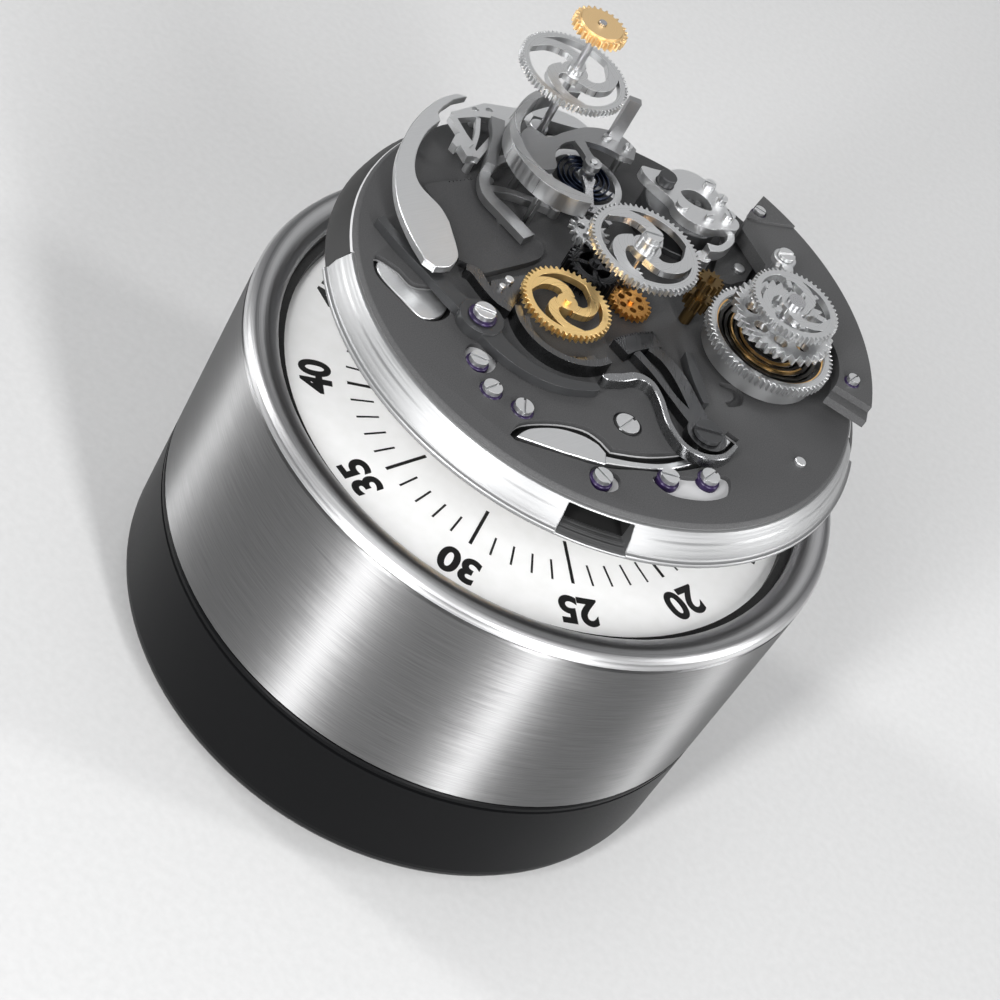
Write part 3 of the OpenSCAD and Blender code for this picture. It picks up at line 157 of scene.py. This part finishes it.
add_softbox("left softbox", 176, 16, distance=0.8, width=0.1, height=0.7, power=4.5)
add_softbox("front left softbox", -111, 22, distance=0.9, width=0.1, height=0.9, power=12)
add_softbox("front right softbox", -53, 22, distance=0.9, width=0.1, height=0.9, power=11)
add_softbox("right softbox", 8, 16, distance=0.8, width=0.1, height=0.7, power=4)
add_softbox("back softbox", 88, 44, distance=1.2, width=1.0, height=0.8, power=1.9)
add_softbox("ceiling softbox", -150, 74, distance=1.1, width=0.5, height=0.5, power=1.6)

# ---------------------------------------------------------------- base cup
# The base is one black moulded cup with a satin skin. Its lower edge is rounded in, and a
# fine witness line runs round it just under the turning joint.
node = frame["nodes"]


def vary_roughness(material, pattern, low, high):
    """Spreads the roughness between two values by a pattern."""
    nodes = material.node_tree.nodes
    links = material.node_tree.links
    spread = nodes.new("ShaderNodeMapRange")
    spread.inputs["From Min"].default_value = noise_low
    spread.inputs["From Max"].default_value = noise_high
    spread.inputs["To Min"].default_value = low
    spread.inputs["To Max"].default_value = high
    links.new(pattern, spread.inputs["Value"])
    links.new(spread.outputs["Result"], nodes["Principled BSDF"].inputs["Roughness"])


def add_bump(material, pattern, depth, strength):
    """Raises the surface by a pattern."""
    nodes = material.node_tree.nodes
    links = material.node_tree.links
    bump = nodes.new("ShaderNodeBump")
    bump.inputs["Strength"].default_value = strength
    bump.inputs["Distance"].default_value = depth
    links.new(pattern, bump.inputs["Height"])
    links.new(bump.outputs["Normal"], nodes["Principled BSDF"].inputs["Normal"])


def dress(name, material):
    """Puts a material on a CAD node."""
    mesh = node[name].data
    mesh.materials.clear()
    mesh.materials.append(material)


satin_black = make_material("satin black", (0.002, 0.0021, 0.0024), metallic=0, roughness=0.36)
satin_skin = add_noise(satin_black, scale=9000, detail=2)
vary_roughness(satin_black, satin_skin, 0.33, 0.42)
add_bump(satin_black, satin_skin, depth=0.02 * mm, strength=0.25)
satin_black.node_tree.nodes["Principled BSDF"].inputs["Specular IOR Level"].default_value = 0.08
dress("base_cup", satin_black)

# ---------------------------------------------------------------- foot ring and base screws
# A matt rubber ring is pressed into the underside and keeps the timer from slipping. Three
# turned steel screws come up through the base and hold the column's flange.
rubber = make_material("rubber", (0.02, 0.02, 0.02), metallic=0, roughness=0.75)
dust = add_noise(rubber, scale=3000, detail=4)
tint(rubber, dust, (0.017, 0.017, 0.017), (0.032, 0.031, 0.03))
add_bump(rubber, dust, depth=0.03 * mm, strength=0.3)
dress("foot_ring", rubber)

drum_axis = (0, 0)


def turned_metal(name, colour, roughness, centre, rings=9000, bump_strength=0.3):
    """Metal turned or polished in rings about an upright axis through centre; rings is per metre."""
    material = make_material(name, colour, metallic=1, roughness=roughness)
    nodes = material.node_tree.nodes
    links = material.node_tree.links
    place = nodes.new("ShaderNodeTexCoord")
    shift = nodes.new("ShaderNodeVectorMath")
    shift.operation = "SUBTRACT"
    shift.inputs[1].default_value = (centre[0], centre[1], 0)
    flatten = nodes.new("ShaderNodeVectorMath")
    flatten.operation = "MULTIPLY"
    flatten.inputs[1].default_value = (1, 1, 0)
    radius = nodes.new("ShaderNodeVectorMath")
    radius.operation = "LENGTH"
    links.new(place.outputs["Object"], shift.inputs[0])
    links.new(shift.outputs["Vector"], flatten.inputs[0])
    links.new(flatten.outputs["Vector"], radius.inputs[0])
    noise = nodes.new("ShaderNodeTexNoise")
    noise.noise_dimensions = "1D"
    noise.inputs["Scale"].default_value = rings
    noise.inputs["Detail"].default_value = 4
    links.new(radius.outputs["Value"], noise.inputs["W"])
    tool_marks = noise.outputs["Fac"]
    vary_roughness(material, tool_marks, roughness * 0.8, roughness * 1.25)
    tint(material, tool_marks, [c * 0.9 for c in colour], colour)
    add_bump(material, tool_marks, depth=0.01 * mm, strength=bump_strength)
    return material


dress("base_screws", turned_metal("base screw steel", (0.5, 0.5, 0.5), 0.3, drum_axis))

# ---------------------------------------------------------------- drum sleeve
# The sleeve is a rolled stainless band, brushed round and round. Each scratch runs round the
# drum, so a light is drawn out into an upright streak.
sleeve_steel = make_material("brushed sleeve", (0.5, 0.5, 0.505), metallic=1, roughness=0.3)
sleeve_nodes = sleeve_steel.node_tree.nodes
sleeve_links = sleeve_steel.node_tree.links
sleeve_place = sleeve_nodes.new("ShaderNodeTexCoord")
sleeve_axes = sleeve_nodes.new("ShaderNodeSeparateXYZ")
way_round = sleeve_nodes.new("ShaderNodeMath")
way_round.operation = "ARCTAN2"
sleeve_links.new(sleeve_place.outputs["Object"], sleeve_axes.inputs["Vector"])
sleeve_links.new(sleeve_axes.outputs["Y"], way_round.inputs[0])
sleeve_links.new(sleeve_axes.outputs["X"], way_round.inputs[1])
unrolled = sleeve_nodes.new("ShaderNodeCombineXYZ")
sleeve_links.new(way_round.outputs["Value"], unrolled.inputs["X"])
sleeve_links.new(sleeve_axes.outputs["Z"], unrolled.inputs["Z"])
brushing = sleeve_nodes.new("ShaderNodeMapping")
marks_per_radian = 5
marks_per_metre_up = 5200
brushing.inputs["Scale"].default_value = (marks_per_radian, 1, marks_per_metre_up)
sleeve_links.new(unrolled.outputs["Vector"], brushing.inputs["Vector"])
scratches = sleeve_nodes.new("ShaderNodeTexNoise")
scratches.inputs["Scale"].default_value = 1
scratches.inputs["Detail"].default_value = 5
scratches.inputs["Roughness"].default_value = 0.7
sleeve_links.new(brushing.outputs["Vector"], scratches.inputs["Vector"])
vary_roughness(sleeve_steel, scratches.outputs["Fac"], 0.38, 0.5)
tint(sleeve_steel, scratches.outputs["Fac"], (0.16, 0.16, 0.162), (0.26, 0.26, 0.26))
add_bump(sleeve_steel, scratches.outputs["Fac"], depth=0.012 * mm, strength=0.5)
sleeve_nodes["Principled BSDF"].inputs["Anisotropic"].default_value = 0.97
# Highlights are drawn out along the tangent, so it points straight up.
upright = sleeve_nodes.new("ShaderNodeCombineXYZ")
upright.inputs["Z"].default_value = 1
sleeve_links.new(upright.outputs["Vector"], sleeve_nodes["Principled BSDF"].inputs["Tangent"])
dress("drum_sleeve", sleeve_steel)

# ---------------------------------------------------------------- bezel, liner, dial
# The bezel is a satin ring with a rounded crown, pressed over a black moulded liner. The dial
# is an aluminium disc with white enamel; its minute marks and numbers are printed on.
bezel_satin = turned_metal("satin bezel", (0.44, 0.44, 0.445), 0.36, drum_axis, 5000, 0.4)
dress("bezel_ring", bezel_satin)

liner_black = make_material("liner black", (0.006, 0.006, 0.006), metallic=0, roughness=0.5)
liner_skin = add_noise(liner_black, scale=5000, detail=3)
vary_roughness(liner_black, liner_skin, 0.42, 0.6)
dress("drum_liner", liner_black)

enamel = make_material("white enamel", (0.9, 0.9, 0.89), metallic=0, roughness=0.38)
enamel_cloud = add_noise(enamel, scale=500, detail=4)
tint(enamel, enamel_cloud, (0.88, 0.88, 0.87), (0.92, 0.92, 0.915))
orange_peel = add_noise(enamel, scale=4000, detail=2)
add_bump(enamel, orange_peel, depth=0.01 * mm, strength=0.2)
dress("dial_disc", enamel)

ink = make_material("printing ink", (0.01, 0.01, 0.01), metallic=0, roughness=0.45)
ink_speckle = add_noise(ink, scale=6000, detail=2)
vary_roughness(ink, ink_speckle, 0.38, 0.55)

dial_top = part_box("dial_disc")[1].z
ink_thickness = 0.03 * mm
ink_middle = dial_top + ink_thickness / 2
number_radius = 29.3 * mm
digit_height = 4.15 * mm
letter_size = digit_height * 1.38
number_weight = 0.2 * mm
number_squeeze = 0.9
mark_end = 25.3 * mm
long_mark_start = 19 * mm
short_mark_start = 22.3 * mm
long_mark_width = 0.42 * mm
short_mark_width = 0.26 * mm


def turn_to_minute(minute):
    """From the dial's top round to a minute, clockwise."""
    return Matrix.Rotation(math.radians(-6 * minute), 4, "Z")


def print_number(value):
    """One number, its foot towards the dial's centre."""
    bpy.ops.object.text_add(location=(0, 0, 0))
    number = bpy.context.object
    number.data.body = str(value)
    number.data.align_x = "CENTER"
    number.data.align_y = "CENTER"
    number.data.size = letter_size
    number.data.offset = number_weight
    number.data.extrude = ink_thickness / 2
    bpy.ops.object.convert(target="MESH")
    number = bpy.context.object
    number.name = f"number_{value}"
    across = [vertex.co.x for vertex in number.data.vertices]
    upwards = [vertex.co.y for vertex in number.data.vertices]
    middle = Vector(((min(across) + max(across)) / 2, (min(upwards) + max(upwards)) / 2, 0))
    stretch = digit_height / (max(upwards) - min(upwards))
    size = Matrix.Diagonal((number_squeeze, stretch, 1, 1))
    number.data.transform(size @ Matrix.Translation(-middle))
    number.data.transform(turn_to_minute(value) @ Matrix.Translation((0, number_radius, ink_middle)))
    number.data.materials.append(ink)
    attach(number, "drum")
    deselect_all()


deselect_all()
for value in range(0, 60, 5):
    print_number(value)


def print_mark(minute):
    """One minute mark, longer and bolder every fifth minute."""
    if minute % 5 == 0:
        start, width = long_mark_start, long_mark_width
    else:
        start, width = short_mark_start, short_mark_width
    bpy.ops.mesh.primitive_cube_add(size=1, location=(0, 0, 0))
    mark = bpy.context.object
    mark.name = f"mark_{minute:02d}"
    size = Matrix.Diagonal((width, mark_end - start, ink_thickness, 1))
    place = Matrix.Translation((0, (start + mark_end) / 2, ink_middle))
    mark.data.transform(turn_to_minute(minute) @ place @ size)
    mark.data.materials.append(ink)
    return mark


marks = [print_mark(minute) for minute in range(60)]
deselect_all()
for mark in marks:
    mark.select_set(True)
bpy.context.view_layer.objects.active = marks[0]
bpy.ops.object.join()
minute_marks = bpy.context.object
minute_marks.name = "minute_marks"
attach(minute_marks, "drum")
deselect_all()

# ---------------------------------------------------------------- hub, column, bell and hammer
# These turn or stand inside the case. A brass hub with its gear turns on the steel column,
# which is screwed to the base; the bell is a plated steel shell that the hammer strikes.
hub_brass = turned_metal("hub brass", (0.72, 0.5, 0.22), 0.32, drum_axis)
for name in ("drum_hub", "hub_gear"):
    dress(name, hub_brass)
column_steel = turned_metal("column steel", (0.46, 0.46, 0.47), 0.3, drum_axis)
for name in ("centre_column", "column_collar", "bell_nut", "trip_cam", "hammer_post", "hammer"):
    dress(name, column_steel)
dress("bell", turned_metal("plated bell", (0.66, 0.67, 0.68), 0.16, drum_axis, 3000, 0.2))

# ---------------------------------------------------------------- movement plate
# The plate is brass under a dark grey blasted coat, even and fine grained. Its shallow pockets
# are machined bright after coating. Everything on the plate lower than the long slot's floor
# level is painted near-black, as painted shade in the slot and down the plate's sides. A satin
# silver band with broken edges is pressed round the front half of its rim.
plate_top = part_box("train_cover")[0].z
pocket_depth = 0.65 * mm
slot_depth = 0.9 * mm


def body_of_node(name):
    bodies = frame["record"]["behaviour"]["bodies"]
    return next(body for body, names in bodies.items() if name in names)


def finish(name, material, edge):
    """Shows a CAD node by a copy with whole faces, broken edges and smooth curves."""
    merge_gap = 0.002 * mm
    flat_angle = math.radians(1)
    corner_angle = math.radians(35)
    smooth_angle = math.radians(26)
    piece = bpy.data.objects.new(name + "_finished", node[name].data.copy())
    bpy.context.scene.collection.objects.link(piece)
    deselect_all()
    piece.select_set(True)
    bpy.context.view_layer.objects.active = piece
    bpy.ops.mesh.customdata_custom_splitnormals_clear()
    bpy.ops.object.mode_set(mode="EDIT")
    bpy.ops.mesh.select_all(action="SELECT")
    bpy.ops.mesh.remove_doubles(threshold=merge_gap)
    bpy.ops.mesh.dissolve_limited(angle_limit=flat_angle)
    bpy.ops.object.mode_set(mode="OBJECT")
    bevel = piece.modifiers.new("edges", "BEVEL")
    bevel.width = edge
    bevel.segments = 1
    bevel.limit_method = "ANGLE"
    bevel.angle_limit = corner_angle
    bpy.ops.object.modifier_apply(modifier="edges")
    bpy.ops.object.shade_smooth_by_angle(angle=smooth_angle)
    piece.data.materials.clear()
    piece.data.materials.append(material)
    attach(piece, body_of_node(name))
    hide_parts(name)
    deselect_all()


def blasted_coat(name, dark, light, roughness):
    """A dull coat with a fine even grain, its roughness in slow patches."""
    material = make_material(name, dark, metallic=0, roughness=roughness)
    material.node_tree.nodes["Principled BSDF"].inputs["Specular IOR Level"].default_value = 0.3
    blast = add_noise(material, scale=7000, detail=3)
    patches = add_noise(material, scale=120, detail=3)
    tint(material, blast, dark, light)
    vary_roughness(material, patches, roughness * 0.9, roughness * 1.1)
    add_bump(material, blast, depth=0.02 * mm, strength=0.3)
    return material


def colour_below(material, level, colour):
    """Gives a surface another colour where it lies lower than a level."""
    blur = 0.02 * mm
    nodes = material.node_tree.nodes
    links = material.node_tree.links
    base_colour = nodes["Principled BSDF"].inputs["Base Color"]
    colour_above = base_colour.links[0].from_socket
    place = nodes.new("ShaderNodeTexCoord")
    split = nodes.new("ShaderNodeSeparateXYZ")
    step = nodes.new("ShaderNodeMapRange")
    step.inputs["From Min"].default_value = level - blur
    step.inputs["From Max"].default_value = level + blur
    mix = nodes.new("ShaderNodeMix")
    mix.data_type = "RGBA"
    mix.inputs["A"].default_value = (*colour, 1)
    links.new(place.outputs["Object"], split.inputs["Vector"])
    links.new(split.outputs["Z"], step.inputs["Value"])
    links.new(step.outputs["Result"], mix.inputs["Factor"])
    links.new(colour_above, mix.inputs["B"])
    links.new(mix.outputs["Result"], base_colour)


plate_coat = blasted_coat("plate coat", (0.034, 0.034, 0.035), (0.058, 0.058, 0.059), 0.55)
colour_below(plate_coat, plate_top - pocket_depth, (0.42, 0.42, 0.425))
# Painted shade: all of the plate below the slot's floor level is coloured near-black.
colour_below(plate_coat, plate_top - slot_depth, (0.014, 0.014, 0.014))
finish("movement_plate", plate_coat, 0.14 * mm)
bridge_coat = blasted_coat("bridge coat", (0.042, 0.042, 0.043), (0.07, 0.07, 0.071), 0.5)
for name in ("barrel_bridge", "bridge_corner", "lower_bridge"):
    finish(name, bridge_coat, 0.12 * mm)
rim_silver = turned_metal("rim silver", (0.34, 0.342, 0.345), 0.5, drum_axis, 4000, 0.3)
finish("rim_ring", rim_silver, 0.1 * mm)

# ---------------------------------------------------------------- levers, covers and cocks
# These steel pieces are mostly flat, cut out of sheet, and screwed to the plate or pivoted on it.
# Their faces are rubbed in one direction. Some are darkened, the train cover is coated like the
# plate, and the open band over the balance is turned.
light_edge = 0.09 * mm
lever_edge = 0.1 * mm
band_edge = 0.15 * mm


def grained_steel(name, colour, roughness, grain_angle, metallic=1.0):
    """Steel rubbed in one direction, given in degrees round the upright axis."""
    marks_along = 250
    marks_across = 6500
    material = make_material(name, colour, metallic, roughness)
    nodes = material.node_tree.nodes
    links = material.node_tree.links
    place = nodes.new("ShaderNodeTexCoord")
    turn = nodes.new("ShaderNodeMapping")
    turn.inputs["Rotation"].default_value = (0, 0, math.radians(-grain_angle))
    stretch = nodes.new("ShaderNodeMapping")
    stretch.inputs["Scale"].default_value = (marks_along, marks_across, marks_across)
    noise = nodes.new("ShaderNodeTexNoise")
    noise.inputs["Scale"].default_value = 1
    noise.inputs["Detail"].default_value = 4
    links.new(place.outputs["Object"], turn.inputs["Vector"])
    links.new(turn.outputs["Vector"], stretch.inputs["Vector"])
    links.new(stretch.outputs["Vector"], noise.inputs["Vector"])
    grain = noise.outputs["Fac"]
    vary_roughness(material, grain, roughness * 0.85, roughness * 1.15)
    tint(material, grain, [c * 0.92 for c in colour], colour)
    add_bump(material, grain, depth=0.006 * mm, strength=0.3)
    return material


light_steel = grained_steel("light steel", (0.62, 0.625, 0.63), 0.4, grain_angle=60)
for name in ("left_blade", "gable_plates", "scallop_plate", "slot_blade", "regulator_cock", "click",
             "locating_pins"):
    finish(name, light_steel, light_edge)
middle_steel = grained_steel("middle steel", (0.3, 0.302, 0.306), 0.38, grain_angle=60)
for name in ("balance_cock", "stop_arm"):
    finish(name, middle_steel, lever_edge)
dark_steel = grained_steel("dark steel", (0.05, 0.051, 0.053), 0.4, grain_angle=20, metallic=0.6)
for name in ("setting_lever", "spring_lug", "regulator_block"):
    finish(name, dark_steel, lever_edge)
cover_coat = blasted_coat("cover coat", (0.028, 0.028, 0.029), (0.044, 0.044, 0.045), 0.5)
finish("train_cover", cover_coat, lever_edge)
dark_chrome = grained_steel("dark chrome", (0.1, 0.101, 0.104), 0.3, grain_angle=110)
for name in ("fork_lever", "wheel_cup"):
    finish(name, dark_chrome, lever_edge)
ribbon_steel = grained_steel("ribbon steel", (0.24, 0.243, 0.248), 0.28, grain_angle=110)
finish("ribbon_spring", ribbon_steel, lever_edge)


def centre_of(name):
    """The middle of a CAD node's box, seen from above."""
    low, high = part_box(name)
    return ((low.x + high.x) / 2, (low.y + high.y) / 2)


band_steel = turned_metal("band steel", (0.42, 0.423, 0.427), 0.34, centre_of("balance_bridge"), 4000, 0.3)
finish("balance_bridge", band_steel, band_edge)

# ---------------------------------------------------------------- screws and their collars
# The slotted steel screws have heads rubbed flat. The countersunk ones and the tall one on the
# boss sit in collars with a dark violet skin, as left by heating steel.
head_edge = 0.07 * mm
collar_edge = 0.05 * mm
screw_steel = grained_steel("screw steel", (0.62, 0.625, 0.63), 0.38, grain_angle=45)
for name in ("countersunk_screws", "flat_screws", "shoulder_screws", "centre_screw"):
    finish(name, screw_steel, head_edge)
violet_skin = make_material("violet skin", (0.012, 0.005, 0.03), metallic=0.3, roughness=0.35)
bloom = add_noise(violet_skin, scale=900, detail=3)
tint(violet_skin, bloom, (0.008, 0.004, 0.02), (0.02, 0.008, 0.05))
finish("screw_seats", violet_skin, collar_edge)

# ---------------------------------------------------------------- wheels
# The wheels are cut from steel or brass sheet and ride on turned steel arbors. Each is grained
# in rings about its own arbor, and its teeth are left crisp.
tooth_edge = 0.05 * mm


def finish_wheel(name, colour, roughness):
    finish(name, turned_metal(name + " metal", colour, roughness, centre_of(name)), tooth_edge)


for name in ("winding_wheel", "ratchet_wheel", "barrel", "centre_wheel", "counting_wheel", "escape_wheel",
             "balance_wheel"):
    finish_wheel(name, (0.56, 0.565, 0.57), 0.34)
for name in ("winding_arbor", "crown_arbor", "pallet_fork"):
    finish_wheel(name, (0.4, 0.4, 0.41), 0.28)
finish_wheel("third_wheel", (0.045, 0.045, 0.047), 0.3)
finish_wheel("brass_wheel", (0.86, 0.6, 0.26), 0.34)
finish_wheel("crown_wheel", (0.85, 0.6, 0.31), 0.36)
finish_wheel("small_brass_wheel", (0.66, 0.33, 0.09), 0.34)
finish_wheel("idler_pinion", (0.13, 0.085, 0.035), 0.36)

# ---------------------------------------------------------------- springs
# The mainspring is a steel ribbon coiled in the barrel, dark with oil, and a few of its coils
# are worn bright to gold. The hairspring is a finer coil of blued steel on top of the balance.
spring_edge = 0.02 * mm
coil_width = 0.22 * mm
coil_height = 0.25 * mm
coil_steps = 72
coil_steel = turned_metal("mainspring steel", (0.045, 0.043, 0.04), 0.34, centre_of("barrel"), 3000, 0.4)
finish("mainspring", coil_steel, spring_edge)
worn_gold = turned_metal("worn gold", (0.85, 0.52, 0.2), 0.28, centre_of("barrel"), 5000, 0.3)
spring_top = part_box("mainspring")[1].z


def gold_coil(name, radius, start, sweep):
    """A worn coil lying on the mainspring: a small upright face spun round the barrel's arbor."""
    x, y = centre_of("barrel")
    deselect_all()
    bpy.ops.mesh.primitive_plane_add(size=1, rotation=(math.radians(90), 0, 0),
                                     location=(x + radius, y, spring_top + coil_height / 2))
    coil = bpy.context.object
    coil.name = name
    coil.scale = (coil_width, coil_height, 1)
    bpy.ops.object.transform_apply(location=True, rotation=True, scale=True)
    bpy.ops.object.mode_set(mode="EDIT")
    bpy.ops.mesh.select_all(action="SELECT")
    bpy.ops.mesh.spin(steps=coil_steps, angle=math.radians(sweep), center=(x, y, 0), axis=(0, 0, 1))
    bpy.ops.mesh.select_all(action="SELECT")
    bpy.ops.mesh.normals_make_consistent(inside=False)
    bpy.ops.object.mode_set(mode="OBJECT")
    arbor = Vector((x, y, 0))
    turn = Matrix.Rotation(math.radians(start), 4, "Z")
    coil.data.transform(Matrix.Translation(arbor) @ turn @ Matrix.Translation(-arbor))
    bpy.ops.object.shade_smooth_by_angle(angle=math.radians(30))
    coil.data.materials.append(worn_gold)
    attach(coil, body_of_node("mainspring"))
    deselect_all()


gold_coil("outer_gold_coil", radius=7.0 * mm, start=100, sweep=300)
gold_coil("middle_gold_coil", radius=5.1 * mm, start=-20, sweep=270)
gold_coil("inner_gold_coil", radius=3.9 * mm, start=60, sweep=240)
blued_steel = turned_metal("blued steel", (0.03, 0.04, 0.07), 0.3, centre_of("balance_wheel"), 3000, 0.4)
finish("hairspring", blued_steel, spring_edge)
